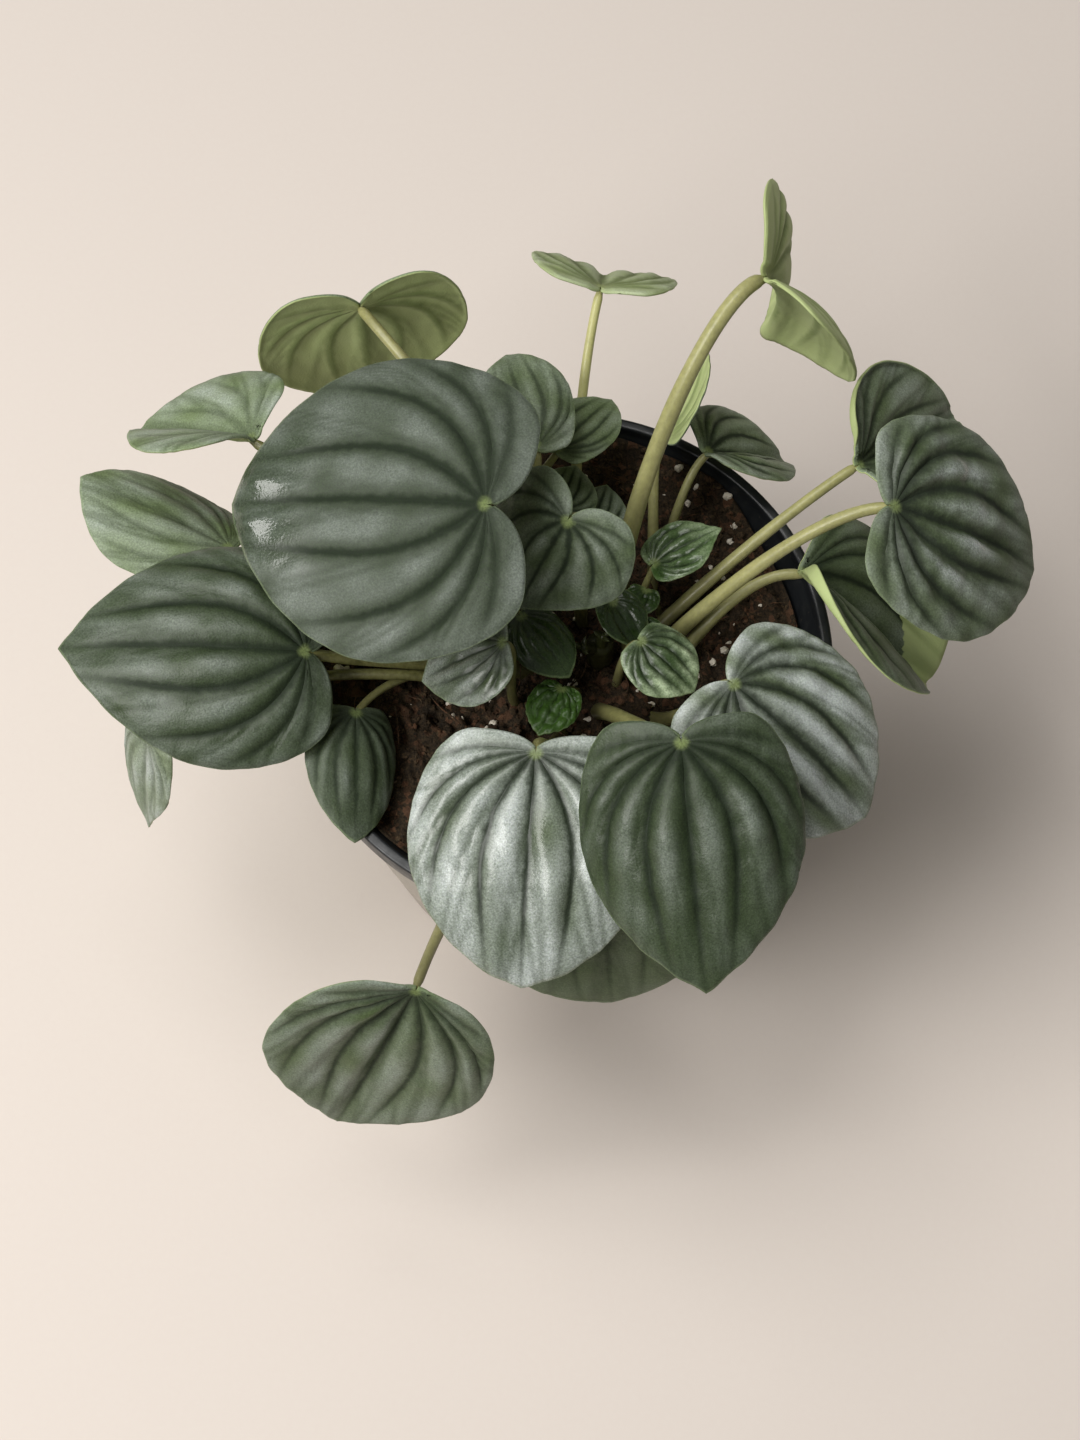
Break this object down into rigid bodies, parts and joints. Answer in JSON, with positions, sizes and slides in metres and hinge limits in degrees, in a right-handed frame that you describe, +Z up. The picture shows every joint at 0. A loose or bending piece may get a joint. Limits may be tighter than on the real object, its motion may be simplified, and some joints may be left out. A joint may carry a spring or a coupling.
{
  "type": "potted peperomia plant",
  "caption": "Small bushy house plant with quilted silver-green heart-shaped leaves on fleshy stalks, in a black nursery pot standing in a pale round pot.",
  "frame": {"origin": "centre of the outer pot's flat underside, on the ground", "axes": "+Z up along the pot's axis, -Y towards the viewer, the side the front leaves hang over, +X to the viewer's right"},
  "size_m": [0.1905, 0.1781, 0.1532],
  "materials": {
    "pale_pot": "plain warm off-white, satin",
    "black_plastic": "moulded black plastic, half gloss",
    "potting_soil": "damp fibrous peat with white perlite grains",
    "green_stem": "fleshy yellow-green stem, satin",
    "leaf": "quilted silver-green upper side, dark sunken veins, pale green underside, satin",
    "young_leaf": "bright green crinkled young leaf, glossy"
  },
  "bodies": {
    "root": {"outer_pot": "pale_pot", "nursery_pot": "black_plastic", "soil": "potting_soil", "crown_stem": "green_stem", "leaf_01_upper_left_large": "leaf", "leaf_02_left_large": "leaf", "leaf_03_left_upper": "leaf", "leaf_04_left_folded": "leaf", "leaf_05_far_left_hanging": "leaf", "leaf_06_upper_middle": "leaf", "leaf_07_upper_small": "leaf", "leaf_08_middle": "leaf", "leaf_09_middle_small": "leaf", "leaf_10_far_edge": "leaf", "leaf_11_behind_middle": "leaf", "leaf_12_far_right_high": "leaf", "leaf_13_right_behind": "leaf", "leaf_14_right_large": "leaf", "leaf_15_dark_at_rim": "leaf", "leaf_16_young_shiny": "young_leaf", "leaf_17_right_lower": "leaf", "leaf_18_right_front": "leaf", "leaf_19_front_large": "leaf", "leaf_20_front_silver": "leaf", "leaf_21_front_low": "leaf", "leaf_22_front_left_hanging": "leaf", "leaf_23_left_small": "leaf", "leaf_24_left_inner": "leaf", "leaf_25_young_spoon": "young_leaf", "leaf_26_young_bright": "young_leaf", "leaf_27_young_curled": "young_leaf", "leaf_28_striped_shiny": "young_leaf", "leaf_29_low_left_folded": "leaf", "leaf_30_edge_on_at_rim": "leaf", "leaf_31_under_large": "leaf", "leaf_32_tiny_upper": "young_leaf", "leaf_33_tiny_lower": "young_leaf"}
  },
  "joints": []
}
